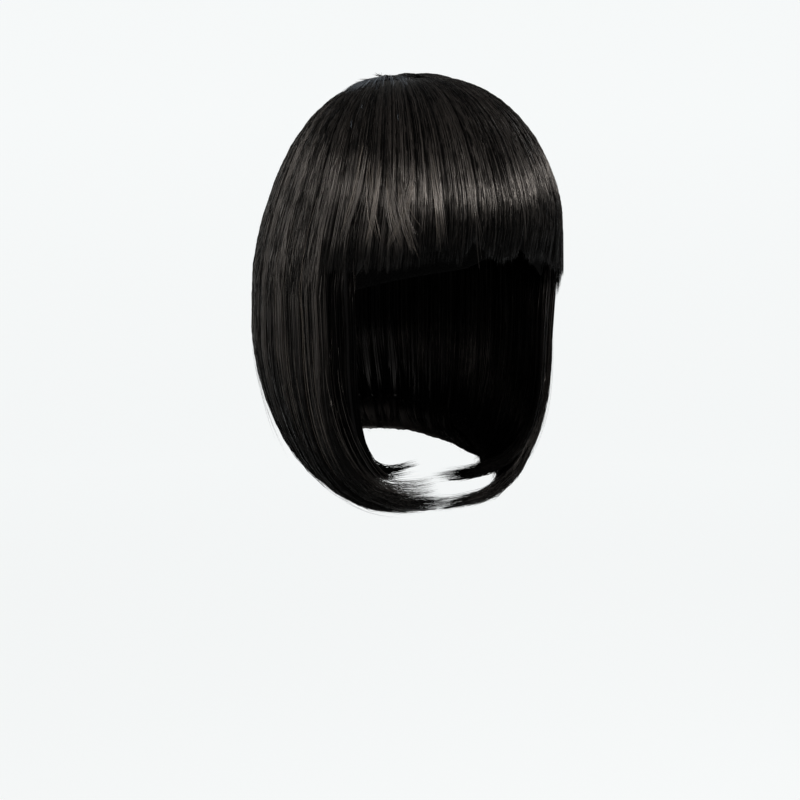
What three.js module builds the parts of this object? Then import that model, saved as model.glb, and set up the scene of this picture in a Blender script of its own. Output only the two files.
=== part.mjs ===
// A chin-length bob wig with a full fringe, in the form that it has when it is worn: a foundation cap,
// an under layer of hair sewn round the cap's edge, an over layer that runs from the crown whorl to the
// curled-in tips, and a fringe. Millimetres, +Z up. The wearer looks along -Y, so the wearer's right is
// -X. The origin is the inside of the cap's top, where it sits on the top of the head.
import * as THREE from "three";

// Head that the cap fits
const HEAD_HALF_WIDTH = 77;
const HEAD_HALF_LENGTH = 95;
const HEAD_DOME_HEIGHT = 95;
const HEAD_DOME_FULLNESS = 2.3;

// Foundation cap
const CAP_WALL = 1.5;
const CAP_RIM_DROP = 118;

// Body of hair round the head
const HAIR_LIFT = 12;
const HAIR_SIDE_DEPTH = 18.5;
const HAIR_FRONT_DEPTH = 17;
const HAIR_BACK_DEPTH = 22;
const HAIR_SET_BACK = 6;
const HAIR_LEAN = 9;
const HAIR_SWEEP = 8;
const HAIR_DOME_FULLNESS = 2.42;
const HAIR_CURL_FULLNESS = 1.82;
const WIDEST_DROP = 148;
const HAIR_DROP = 260;
const CHEEK_HUG = 4;
const FRINGE_TUCK = 8;

// Crown whorl
const WHORL_SET_BACK = 24;
const WHORL_RADIUS = 12;
const WHORL_RISE = 1.2;
const TUFT_RISE = 2.2;

// Thickness of the layers
const OVER_THICKNESS = 5.5;
const OVER_TIP_THICKNESS = 4.5;
const FRINGE_THICKNESS = 6;
const FRINGE_TIP_THICKNESS = 3;
const UNDER_THICKNESS = 4.5;
const UNDER_TIP_THICKNESS = 9;
const UNDER_TIP_LIFT = 8;
const UNDER_FRONT_LIFT = 9;

// Locks: how deep the grooves between them are, and how far the tips stand past the notches
const LOCK_GROOVE = 2.2;
const LOCK_NOTCH = 8;
const FRINGE_NOTCH = 4;

// Clearances
const SEAT_GAP = 0.7;
const SEAM_GAP = 0.7;
const LAYER_GAP = 1.4;

// Angles round the head, in degrees from the face, at which one panel of hair ends and the next begins
const FRINGE_EDGE = 68;
const SIDE_EDGE = 125;
const UNDER_FRONT_EDGE = 60;
const UNDER_SIDE_EDGE = 118;

// Share of the widest drop at which the under layer is sewn on, and its travel at the tips under the
// chin and at the nape, where it is cut shorter
const UNDER_START = 0.53;
const UNDER_CHIN_REACH = 1.97;
const UNDER_NAPE_REACH = 1.8;

// Travel at which the fringe leaves the cap and its locks begin to end apart
const FRINGE_KNEE = 0.4;

// Where the tips come to rest round the neck, for a lock that leaves the crown at this angle: the angle
// at its tip on each side, and its distance out and down as shares of the hair's half width and drop.
const TIPS = [
  { angle: 55, right: -6, left: -14, out: 0.4, down: 0.99 },
  { angle: 68, right: 1, left: -8, out: 0.41, down: 0.995 },
  { angle: 82, right: 22, left: 14, out: 0.42, down: 1 },
  { angle: 96, right: 46, left: 38, out: 0.43, down: 0.98 },
  { angle: 110, right: 75, left: 72, out: 0.48, down: 0.945 },
  { angle: 125, right: 102, left: 102, out: 0.55, down: 0.915 },
  { angle: 150, right: 140, left: 140, out: 0.56, down: 0.89 },
  { angle: 180, right: 180, left: 180, out: 0.6, down: 0.885 },
];

// Cut of the fringe from the wearer's left temple to the right one, as a share of the widest drop, with
// the two places where the skin shows between its locks
const FRINGE_CUT = [
  { angle: -68, down: 0.9 },
  { angle: -60, down: 0.84 },
  { angle: -50, down: 0.755 },
  { angle: -38, down: 0.715 },
  { angle: -20, down: 0.68 },
  { angle: -16.3, down: 0.53 },
  { angle: -12, down: 0.68 },
  { angle: 6, down: 0.665 },
  { angle: 10.2, down: 0.53 },
  { angle: 14, down: 0.66 },
  { angle: 26, down: 0.665 },
  { angle: 40, down: 0.69 },
  { angle: 54, down: 0.7 },
  { angle: 62, down: 0.705 },
  { angle: 68, down: 0.74 },
];

// Lower edge of the cap from the forehead to the nape, as a share of its rim drop
const CAP_RIM = [
  { angle: 0, down: 0.42 },
  { angle: 40, down: 0.5 },
  { angle: 66, down: 0.96 },
  { angle: 92, down: 0.82 },
  { angle: 118, down: 1 },
  { angle: 180, down: 1.16 },
];

// Tufts of the whorl in turn round it: how far each stands up and out, as shares of its rise and radius
const TUFTS = [
  { rise: 0.1, out: 0.97 },
  { rise: 0.3, out: 1 },
  { rise: 0.15, out: 0.96 },
  { rise: 0.9, out: 0.98 },
  { rise: 0.5, out: 0.94 },
  { rise: 1, out: 1 },
  { rise: 0.6, out: 0.95 },
  { rise: 0.85, out: 0.98 },
  { rise: 0.2, out: 0.96 },
];

// Width of each lock in turn, as a share of the average, and how much shorter it is, as a share of the
// notch, so that no hem is a plain comb
const LOCK_WIDTHS = [1.1, 0.8, 1.3, 0.95, 0.7, 1.2, 0.9, 1.15, 0.85];
const LOCK_ENDS = [0.1, 0.7, 0.3, 0.95, 0, 0.55, 0.25, 0.8, 0.4];

// Where the fringe parts into locks, as shares of its edge angle from the left temple to the right
const FRINGE_PARTS = [-1, -0.86, -0.7, -0.54, -0.39, -0.24, -0.1, 0.03, 0.15, 0.31, 0.47, 0.63, 0.77, 0.9, 1];

const CAP_COLOUR = 0x1d1a18;
const HAIR_COLOUR = 0x191614;
const UNDER_COLOUR = 0x12100f;
const HAIR_ROUGHNESS = 0.42;

const HAIR_HALF_WIDTH = HEAD_HALF_WIDTH + HAIR_SIDE_DEPTH;
const HAIR_FRONT_LENGTH = HEAD_HALF_LENGTH + HAIR_FRONT_DEPTH;
const HAIR_BACK_LENGTH = HEAD_HALF_LENGTH + HAIR_BACK_DEPTH;
const DOME_DEPTH = WIDEST_DROP + HAIR_LIFT;
const NORMAL_STEP = 1e-3;
const RIGHT = 1;
const LEFT = -1;

// How a panel lies: the side of the head, the column of tip angles, and how far it draws in
const LIES = {
  fringe: { side: RIGHT, tips: "right", tuck: FRINGE_TUCK, hug: CHEEK_HUG },
  right: { side: RIGHT, tips: "right", tuck: 0, hug: CHEEK_HUG },
  left: { side: LEFT, tips: "left", tuck: 0, hug: CHEEK_HUG },
};

const radians = THREE.MathUtils.degToRad;
const mix = THREE.MathUtils.lerp;
const ease = THREE.MathUtils.smoothstep;

// A column of a table at an angle, smoothly or in straight lines between its rows.
function columnAt(table, column, angle, smooth = true) {
  const after = table.findIndex((row) => row.angle >= angle);
  if (after < 0) return table[table.length - 1][column];
  if (after === 0) return table[0][column];
  const [low, high] = [table[after - 1], table[after]];
  const share = (angle - low.angle) / (high.angle - low.angle);
  return mix(low[column], high[column], smooth ? ease(share, 0, 1) : share);
}

// A quarter turn of a superellipse: how far out and up a point is after a share of the turn.
function quarterTurn(share, fullness) {
  const turn = Math.min(Math.max(share, 0), 1) * (Math.PI / 2);
  return [Math.sin(turn) ** (2 / fullness), Math.cos(turn) ** (2 / fullness)];
}

// How far down a strand has travelled, from 0 at the whorl to 1 at the widest level, at this drop.
function travelAtDrop(drop) {
  const height = Math.max(0, 1 - (drop + HAIR_LIFT) / DOME_DEPTH);
  return Math.acos(height ** (HAIR_DOME_FULLNESS / 2)) / (Math.PI / 2);
}

// Shift of the hair's middle at a height: it leans forward over the forehead, straightens at the ears
// and sweeps forward again to the tips.
function middleAt(z) {
  const lean = HAIR_LEAN * ease(z, -0.75 * WIDEST_DROP, -0.3 * WIDEST_DROP);
  const sweep = HAIR_SWEEP * ease(-z, WIDEST_DROP, HAIR_DROP);
  return HAIR_SET_BACK - lean - sweep;
}

// How far a panel draws in from the body of hair: the fringe over the brow, the sides over the cheeks.
function drawIn(lie, angle, travel, z) {
  const far = Math.abs(angle);
  const brow = 1 - ease(far, 20, FRINGE_EDGE);
  const cheek = 1 - ease(far, FRINGE_EDGE, 104);
  const tuck = lie.tuck * brow * ease(-z, 0.42 * WIDEST_DROP, 0.7 * WIDEST_DROP);
  const hug = lie.hug * cheek * ease(-z, 0.72 * WIDEST_DROP, 0.95 * WIDEST_DROP);
  return tuck + hug * (1 - ease(travel, 1, 1.45));
}

// Height of the hair's dome over a point, for a dome with its middle at this y.
function hairHeight(x, y, middle) {
  const length = y < middle ? HAIR_FRONT_LENGTH : HAIR_BACK_LENGTH;
  const level = Math.min(1, Math.hypot(x / HAIR_HALF_WIDTH, (y - middle) / length));
  return HAIR_LIFT - DOME_DEPTH * (1 - (1 - level ** HAIR_DOME_FULLNESS) ** (1 / HAIR_DOME_FULLNESS));
}

// A point on the outside of the hair. The angle is where the strand leaves the whorl, counted from the
// face towards the panel's side. Travel runs from 0 at the whorl through 1 at the widest level to 2 at
// the tip. The dome and the curl are both superellipses, and the tip sweeps forward round the neck.
// `along` moves the point by so many degrees round the same body of hair.
function strandPoint(lie, angle, travel, along = 0) {
  const [domeOut, domeUp] = quarterTurn(travel, HAIR_DOME_FULLNESS);
  let out = domeOut;
  let z = HAIR_LIFT - DOME_DEPTH * (1 - domeUp);
  let turned = radians(angle);
  if (travel > 1) {
    const [curlDown, curlOut] = quarterTurn(travel - 1, HAIR_CURL_FULLNESS);
    const far = Math.abs(angle);
    const fold = far > 180 ? 360 - far : far;
    const tipOut = columnAt(TIPS, "out", fold, false);
    const tipDrop = HAIR_DROP * columnAt(TIPS, "down", fold, false);
    const tipAngle = columnAt(TIPS, lie.tips, fold, false);
    const swept = mix(fold, tipAngle, Math.min(travel - 1, 1) ** 5);
    out = tipOut + (1 - tipOut) * curlOut;
    z = -WIDEST_DROP - (tipDrop - WIDEST_DROP) * curlDown;
    turned = radians((far > 180 ? 360 - swept : swept) * Math.sign(angle));
  }
  turned += radians(along);
  const middle = middleAt(z);
  const x = -out * HAIR_HALF_WIDTH * Math.sin(turned);
  const length = Math.cos(turned) > 0 ? HAIR_FRONT_LENGTH : HAIR_BACK_LENGTH;
  const y = middle - out * length * Math.cos(turned) + WHORL_SET_BACK * (1 - out * out) ** 2;
  if (travel < 1) z = mix(hairHeight(x, y, middle), z, ease(out, 0.75, 0.95));
  const kept = 1 - drawIn(lie, angle, travel, z) / Math.max(1, Math.hypot(x, y));
  return new THREE.Vector3(lie.side * x * kept, y * kept, z);
}

// The directions there: inward from the hair's surface, and aside from the strand to a wider angle.
function directionsAt(lie, angle, travel) {
  const round = strandPoint(lie, angle, travel, 1).sub(strandPoint(lie, angle, travel, -1));
  const lower = strandPoint(lie, angle, travel + NORMAL_STEP);
  const down = lower.sub(strandPoint(lie, angle, travel - NORMAL_STEP)).normalize();
  const aside = round.clone().projectOnPlane(down).normalize();
  return { aside, inward: round.cross(down).normalize().multiplyScalar(-lie.side) };
}

// Height of the cap's face, grown by a clearance, over a point inside its outline.
function capHeight(x, y, grow) {
  const level = Math.hypot(x / (HEAD_HALF_WIDTH + grow), y / (HEAD_HALF_LENGTH + grow));
  const up = (1 - Math.min(1, level) ** HEAD_DOME_FULLNESS) ** (1 / HEAD_DOME_FULLNESS);
  return (HEAD_DOME_HEIGHT + grow) * up - HEAD_DOME_HEIGHT;
}

// Depth from a point on the hair, straight in, to the clearance round the cap.
function depthToCap(point, inward) {
  const grow = CAP_WALL + SEAT_GAP;
  const insideCap = (at) => {
    const level = Math.hypot(at.x / (HEAD_HALF_WIDTH + grow), at.y / (HEAD_HALF_LENGTH + grow));
    return level < 1 && at.z < capHeight(at.x, at.y, grow);
  };
  let [near, far] = [0, HEAD_HALF_WIDTH / 2];
  for (let i = 0; i < 20; i += 1) {
    const half = (near + far) / 2;
    if (insideCap(point.clone().addScaledVector(inward, half))) far = half;
    else near = half;
  }
  return near;
}

// A closed solid between an outer and an inner skin of points, each a grid of columns and rows, joined
// round its edges. In a ring the last column meets the first, and a pole closes the top to one point.
function shellGeometry({ columns, rows, ring = false, pole = false, mirrored = false, outer, inner }) {
  const positions = [];
  const triangles = [];
  const across = ring ? columns : columns + 1;
  const skins = [outer, inner].map((skin) => {
    const ids = [];
    for (let row = 0; row <= rows; row += 1) {
      for (let column = 0; column < across; column += 1) {
        const atPole = pole && row === 0 && column > 0;
        ids.push(atPole ? ids[0] : positions.length / 3);
        if (!atPole) positions.push(...skin(column / columns, row / rows).toArray());
      }
    }
    return (row, column) => ids[row * across + (ring ? column % columns : column)];
  });
  const face = (a, b, c) => {
    if (a !== b && b !== c && c !== a) triangles.push(a, ...(mirrored ? [c, b] : [b, c]));
  };
  const quad = (a, b, c, d) => {
    face(a, b, c);
    face(a, c, d);
  };
  const [top, under] = skins;
  for (let row = 0; row < rows; row += 1) {
    for (let column = 0; column < columns; column += 1) {
      quad(top(row, column), top(row, column + 1), top(row + 1, column + 1), top(row + 1, column));
      quad(under(row, column), under(row + 1, column), under(row + 1, column + 1), under(row, column + 1));
    }
    if (!ring) {
      quad(top(row, 0), top(row + 1, 0), under(row + 1, 0), under(row, 0));
      quad(top(row, columns), under(row, columns), under(row + 1, columns), top(row + 1, columns));
    }
  }
  for (let column = 0; column < columns; column += 1) {
    if (!pole) quad(top(0, column), under(0, column), under(0, column + 1), top(0, column + 1));
    quad(top(rows, column), top(rows, column + 1), under(rows, column + 1), under(rows, column));
  }
  const geometry = new THREE.BufferGeometry();
  geometry.setAttribute("position", new THREE.Float32BufferAttribute(positions, 3));
  geometry.setIndex(triangles);
  geometry.computeVertexNormals();
  return geometry;
}

// The angles at which a panel from one angle to another parts into a number of uneven locks.
function partsOf(from, to, locks) {
  const widths = Array.from({ length: locks }, (unused, lock) => LOCK_WIDTHS[lock % LOCK_WIDTHS.length]);
  const whole = widths.reduce((sum, width) => sum + width, 0);
  let done = 0;
  const ends = widths.map((width) => {
    done += width;
    return mix(from, to, done / whole);
  });
  return [from, ...ends];
}

// A panel of hair that parts into locks at the given angles. `start` and `reach` give the travel at
// which a lock begins and ends, `depths` its outer and inner depth below the hair's outside. The rows
// above and below the knee are counted apart, so that the facets are about as long all the way. Each
// edge stands half the seam's gap aside, so that two panels that meet there clear each other.
function hairPanel({ lie, parts, domeRows, curlRows, knee = 1, start, reach, groove, depths }) {
  const perLock = 3;
  const locks = parts.length - 1;
  const columns = locks * perLock;
  const rows = domeRows + curlRows;
  const place = (across, down, inner) => {
    const lock = Math.min(locks - 1, Math.floor(across * locks + 1e-6));
    const share = Math.min(1, Math.max(0, across * locks - lock));
    const ridge = Math.sin(Math.PI * share);
    const end = LOCK_ENDS[lock % LOCK_ENDS.length];
    const angle = mix(parts[lock], parts[lock + 1], share);
    const [first, last] = [start(angle), reach(angle, (1 - ridge) * 0.6 + end * 0.4 * ridge)];
    const row = down * rows;
    const travel = row <= domeRows ? mix(first, knee, row / domeRows) : mix(knee, last, (row - domeRows) / curlRows);
    const { inward, aside } = directionsAt(lie, angle, travel);
    const point = strandPoint(lie, angle, travel);
    const [outerDepth, innerDepth] = depths(point, inward, travel, angle);
    const cut = groove * (1 - ridge) * ease(travel, 0.12, 0.5);
    point.addScaledVector(aside, (SEAM_GAP / 2) * (1 - 2 * across));
    return point.addScaledVector(inward, inner ? innerDepth : outerDepth + cut);
  };
  return shellGeometry({
    columns,
    rows,
    mirrored: lie.side === LEFT,
    outer: (across, down) => place(across, down, false),
    inner: (across, down) => place(across, down, true),
  });
}

// Share of what holds near the face, all of it up to one angle on either side and none past another.
function nearFace(angle, whole, none) {
  const far = Math.abs(angle);
  return 1 - ease(Math.min(far, 360 - far), whole, none);
}

// Travel at which the over layer begins, so that it leaves the whorl's place open.
function startAtWhorl() {
  const out = (WHORL_RADIUS + SEAM_GAP) / HAIR_HALF_WIDTH;
  return Math.asin(out ** (HAIR_DOME_FULLNESS / 2)) / (Math.PI / 2);
}

// Travel at which a lock of the hem ends, shorter by a share of the notch.
const hemReach = (full) => (angle, shorter) => full - (LOCK_NOTCH / (HAIR_DROP - WIDEST_DROP)) * shorter;

// Thickness of the over layer: down to the cap over the dome, and a free layer below it.
function overThickness(point, inward, travel) {
  const free = mix(OVER_THICKNESS, OVER_TIP_THICKNESS, ease(travel, 1.4, 2));
  return travel > 0.8 ? free : mix(depthToCap(point, inward), free, ease(travel, 0.5, 0.8));
}

// Thickness of the fringe, which leaves the cap at the forehead.
function fringeThickness(point, inward, travel) {
  const free = mix(FRINGE_THICKNESS, FRINGE_TIP_THICKNESS, ease(travel, 0.66, 0.8));
  if (travel > 0.75) return free;
  const toCap = depthToCap(point, inward);
  return mix(toCap, Math.min(toCap, free), ease(travel, 0.5, 0.75));
}

// Outer and inner depth of the under layer, which starts against the cap inside the over layer and
// lifts away from it at the tips, most of all under the chin.
function underDepths(point, inward, travel, angle) {
  const front = nearFace(angle, UNDER_FRONT_EDGE, 100);
  const lift = (UNDER_TIP_LIFT + UNDER_FRONT_LIFT * front) * ease(travel, 1.5, 1.95);
  const outer = overThickness(point, inward, travel) + LAYER_GAP + lift;
  const free = outer + mix(UNDER_THICKNESS, UNDER_TIP_THICKNESS, ease(travel, 1.3, 1.8));
  if (travel > 1.1) return [outer, free];
  const toCap = depthToCap(point, inward);
  const seated = mix(toCap, Math.min(toCap, free), ease(travel, 0.7, 0.8));
  return [outer, mix(seated, free, ease(travel, 0.95, 1.1))];
}

function overLayer(lie, from, to, locks) {
  return hairPanel({
    lie,
    parts: partsOf(from, to, locks),
    domeRows: 11,
    curlRows: 8,
    start: startAtWhorl,
    reach: hemReach(2),
    groove: LOCK_GROOVE,
    depths: (point, inward, travel) => [0, overThickness(point, inward, travel)],
  });
}

function underLayer(lie, from, to, locks) {
  return hairPanel({
    lie,
    parts: partsOf(from, to, locks),
    domeRows: 3,
    curlRows: 9,
    start: () => travelAtDrop(UNDER_START * WIDEST_DROP),
    reach: (angle) => mix(UNDER_NAPE_REACH, UNDER_CHIN_REACH, nearFace(angle, 75, 118)),
    groove: 0,
    depths: underDepths,
  });
}

function fringeGeometry() {
  const cut = (angle) => WIDEST_DROP * columnAt(FRINGE_CUT, "down", angle, false);
  return hairPanel({
    lie: LIES.fringe,
    parts: FRINGE_PARTS.map((share) => share * FRINGE_EDGE),
    domeRows: 6,
    curlRows: 6,
    knee: FRINGE_KNEE,
    start: startAtWhorl,
    reach: (angle, shorter) => travelAtDrop(cut(angle) - FRINGE_NOTCH * shorter),
    groove: LOCK_GROOVE,
    depths: (point, inward, travel) => [0, fringeThickness(point, inward, travel)],
  });
}

// The cap: a dome over the head down to a rim that dips before and behind the ears.
function capGeometry() {
  const skin = (grow) => (across, down) => {
    const angle = 360 * across;
    const rim = CAP_RIM_DROP * columnAt(CAP_RIM, "down", Math.min(angle, 360 - angle));
    const domeShare = 0.75;
    const height = HEAD_DOME_HEIGHT + grow;
    const rimUp = Math.max(0, HEAD_DOME_HEIGHT - rim) / height;
    const lowest = Math.acos(rimUp ** (HEAD_DOME_FULLNESS / 2)) / (Math.PI / 2);
    const [out, up] = quarterTurn(Math.min(1, down / domeShare) * lowest, HEAD_DOME_FULLNESS);
    const skirt = Math.max(0, rim - HEAD_DOME_HEIGHT) * Math.max(0, (down - domeShare) / (1 - domeShare));
    const x = -out * (HEAD_HALF_WIDTH + grow) * Math.sin(radians(angle));
    const y = -out * (HEAD_HALF_LENGTH + grow) * Math.cos(radians(angle));
    return new THREE.Vector3(x, y, height * up - HEAD_DOME_HEIGHT - skirt);
  };
  return shellGeometry({ columns: 36, rows: 8, ring: true, pole: true, outer: skin(CAP_WALL), inner: skin(0) });
}

// The whorl: a small rosette of short tufts, seated on the cap in the opening that the panels leave.
function whorlGeometry() {
  const perTuft = 4;
  const rows = 5;
  const footShare = 0.72;
  const domeMiddle = middleAt(0);
  const centre = new THREE.Vector3(0, domeMiddle + WHORL_SET_BACK, 0);
  const at = (across, out) => {
    const edgePoint = strandPoint(LIES.right, 360 * across, startAtWhorl());
    const point = centre.clone().lerp(edgePoint, out / (WHORL_RADIUS + SEAM_GAP));
    return [point.x, point.y];
  };
  const edge = (across) => {
    const tuft = TUFTS[Math.floor(across * TUFTS.length + 1e-6) % TUFTS.length];
    const ridge = Math.abs(Math.sin(Math.PI * across * TUFTS.length));
    return { reach: WHORL_RADIUS * mix(0.9, tuft.out, ridge), lift: TUFT_RISE * tuft.rise * ridge };
  };
  return shellGeometry({
    columns: TUFTS.length * perTuft,
    rows,
    ring: true,
    pole: true,
    outer: (across, down) => {
      const { reach, lift } = edge(across);
      const out = Math.min(1, (down * rows) / (rows - 1));
      const foot = down === 1;
      const [x, y] = at(across, reach * out * (foot ? mix(1, footShare, 0.5) : 1));
      const top = hairHeight(x, y, domeMiddle) + WHORL_RISE * (1 - out ** 2) + Math.sin(Math.PI * out) * lift;
      const seat = capHeight(x, y, CAP_WALL + SEAT_GAP);
      return new THREE.Vector3(x, y, foot ? mix(seat, top, 0.5) : top);
    },
    inner: (across, down) => {
      const [x, y] = at(across, footShare * edge(across).reach * down);
      return new THREE.Vector3(x, y, capHeight(x, y, CAP_WALL + SEAT_GAP));
    },
  });
}

function hairMaterial(colour) {
  return new THREE.MeshStandardMaterial({ color: colour, roughness: HAIR_ROUGHNESS, metalness: 0 });
}

function named(name, geometry, material) {
  const mesh = new THREE.Mesh(geometry, material);
  mesh.name = name;
  return mesh;
}

const group = new THREE.Group();
const hair = hairMaterial(HAIR_COLOUR);
const under = hairMaterial(UNDER_COLOUR);
group.add(named("foundation_cap", capGeometry(), hairMaterial(CAP_COLOUR)));
group.add(named("crown_whorl", whorlGeometry(), hair));
group.add(named("fringe", fringeGeometry(), hair));
group.add(named("right_side_hair", overLayer(LIES.right, FRINGE_EDGE, SIDE_EDGE, 6), hair));
group.add(named("left_side_hair", overLayer(LIES.left, FRINGE_EDGE, SIDE_EDGE, 6), hair));
group.add(named("back_hair", overLayer(LIES.right, SIDE_EDGE, 360 - SIDE_EDGE, 9), hair));
group.add(named("right_under_hair", underLayer(LIES.right, UNDER_FRONT_EDGE, UNDER_SIDE_EDGE, 4), under));
group.add(named("left_under_hair", underLayer(LIES.left, UNDER_FRONT_EDGE, UNDER_SIDE_EDGE, 4), under));
group.add(named("nape_under_hair", underLayer(LIES.right, UNDER_SIDE_EDGE, 360 - UNDER_SIDE_EDGE, 7), under));

export default group;
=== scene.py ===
"""Looks of a chin-length bob wig with a full fringe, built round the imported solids.

The wig is in the form that it has when it is worn. All lengths in the classes are millimetres in the
frame of the solids: +Z up, the wearer looks along -Y and the wearer's right is -X. A mesh is turned to
metres when it is made.
"""

from __future__ import annotations

import logging
import math
from dataclasses import dataclass, field, replace
from enum import Enum
from typing import Callable, Optional, Sequence

import bpy
import numpy as np
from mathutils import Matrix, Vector

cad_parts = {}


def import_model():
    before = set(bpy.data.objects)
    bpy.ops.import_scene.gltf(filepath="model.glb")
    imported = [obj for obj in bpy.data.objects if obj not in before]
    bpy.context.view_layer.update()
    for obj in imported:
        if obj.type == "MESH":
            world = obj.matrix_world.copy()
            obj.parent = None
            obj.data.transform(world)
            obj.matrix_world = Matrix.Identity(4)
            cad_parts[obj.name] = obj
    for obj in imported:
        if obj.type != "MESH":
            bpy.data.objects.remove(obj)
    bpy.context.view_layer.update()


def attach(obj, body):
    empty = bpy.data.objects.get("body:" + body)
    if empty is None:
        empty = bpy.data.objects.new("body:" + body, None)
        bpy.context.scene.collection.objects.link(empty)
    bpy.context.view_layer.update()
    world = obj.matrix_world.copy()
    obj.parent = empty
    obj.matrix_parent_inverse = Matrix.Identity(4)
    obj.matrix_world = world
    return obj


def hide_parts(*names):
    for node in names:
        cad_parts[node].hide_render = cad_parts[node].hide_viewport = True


LOG = logging.getLogger("bob_wig")
METRE = 1000.0
SEED = 20811
STRAND_UV = "Strands"
TONE = "tone"

# Millimetres of one unit of UV, and of one degree round the hair at its widest level
UV_UNIT = 100.0
ARC = 1.7
# Height of a strand as a share of its width, and most locks that a panel can have
STRAND_HEIGHT = 0.42
MOST_LOCKS = 400

Array = np.ndarray


def ease(value: Array, low: float, high: float) -> Array:
    """Smooth step from 0 at `low` to 1 at `high`: 3s² - 2s³ of the clamped share s.

    Args:
        value: where to read it.
        low: where it leaves 0.
        high: where it reaches 1.

    Returns:
        The eased share.
    """
    share = np.clip((value - low) / (high - low), 0.0, 1.0)
    return share * share * (3.0 - 2.0 * share)


def mix(low: Array, high: Array, share: Array) -> Array:
    """Straight mix of two values by a share."""
    return low + (high - low) * share


def unit(vectors: Array) -> Array:
    """Vectors along the last axis, brought to length 1."""
    return vectors / np.maximum(np.linalg.norm(vectors, axis=-1, keepdims=True), 1e-12)


def folded(angle: Array) -> Array:
    """Angle from the face to the back, from 0 to 180 degrees, the same on both sides."""
    far = np.abs(angle)
    return np.where(far > 180.0, 360.0 - far, far)


def quarter_turn(share: Array, fullness: float) -> tuple[Array, Array]:
    """Quarter of a superellipse: sine and cosine of a share of 90 degrees, each to the power 2/fullness.

    Args:
        share: part of the turn, from 0 to 1.
        fullness: 2 is a circle, more is squarer.

    Returns:
        How far out and how far up the point is, each from 0 to 1.
    """
    turn = np.clip(share, 0.0, 1.0) * (math.pi / 2)
    out = np.clip(np.sin(turn), 0.0, 1.0) ** (2.0 / fullness)
    return out, np.clip(np.cos(turn), 0.0, 1.0) ** (2.0 / fullness)


class Side(Enum):
    """Side of the head that a panel's angles are counted towards, as the sign of -X."""

    RIGHT = 1.0
    LEFT = -1.0


@dataclass(frozen=True)
class Lie:
    """How a panel lies: its side, its column of tip angles and how far it draws in at brow and cheek."""

    side: Side
    tuck: float = 0.0
    hug: float = 4.0


FRINGE_LIE = Lie(Side.RIGHT, tuck=8.0)
RIGHT_LIE = Lie(Side.RIGHT)
LEFT_LIE = Lie(Side.LEFT)


@dataclass(frozen=True)
class HeadForm:
    """Superellipsoid that the foundation cap is drawn over."""

    half_width: float = 77.0
    half_length: float = 95.0
    dome: float = 95.0
    fullness: float = 2.3
    wall: float = 1.5
    rim_drop: float = 118.0
    rim_angles: tuple = (0.0, 40.0, 66.0, 92.0, 118.0, 180.0)
    rim_shares: tuple = (0.42, 0.5, 0.96, 0.82, 1.0, 1.16)

    def rim(self, angle: Array) -> Array:
        """Drop of the cap's lower edge at an angle from the face, straight between its table's rows."""
        return self.rim_drop * np.interp(folded(angle), self.rim_angles, self.rim_shares)

    def point(self, angle: Array, down: Array, grow: Array) -> Array:
        """Point of the cap's face.

        The first three quarters of `down` run over the dome, a superellipse in height and an ellipse in
        plan, as far as the rim or the widest level. The last quarter runs straight down to the rim.

        Args:
            angle: degrees from the face towards the wearer's right.
            down: share of the way from the top to the rim.
            grow: how far outside the head the face stands.

        Returns:
            Points in millimetres, with the coordinates on the last axis.
        """
        rim = self.rim(angle)
        height = self.dome + grow
        rim_up = np.maximum(0.0, self.dome - rim) / height
        lowest = np.arccos(rim_up ** (self.fullness / 2)) / (math.pi / 2)
        out, up = quarter_turn(np.minimum(1.0, down / 0.75) * lowest, self.fullness)
        skirt = np.maximum(0.0, rim - self.dome) * np.maximum(0.0, (down - 0.75) / 0.25)
        turn = np.radians(angle)
        x = -out * (self.half_width + grow) * np.sin(turn)
        y = -out * (self.half_length + grow) * np.cos(turn)
        return np.stack([x, y, height * up - self.dome - skirt], axis=-1)


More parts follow.
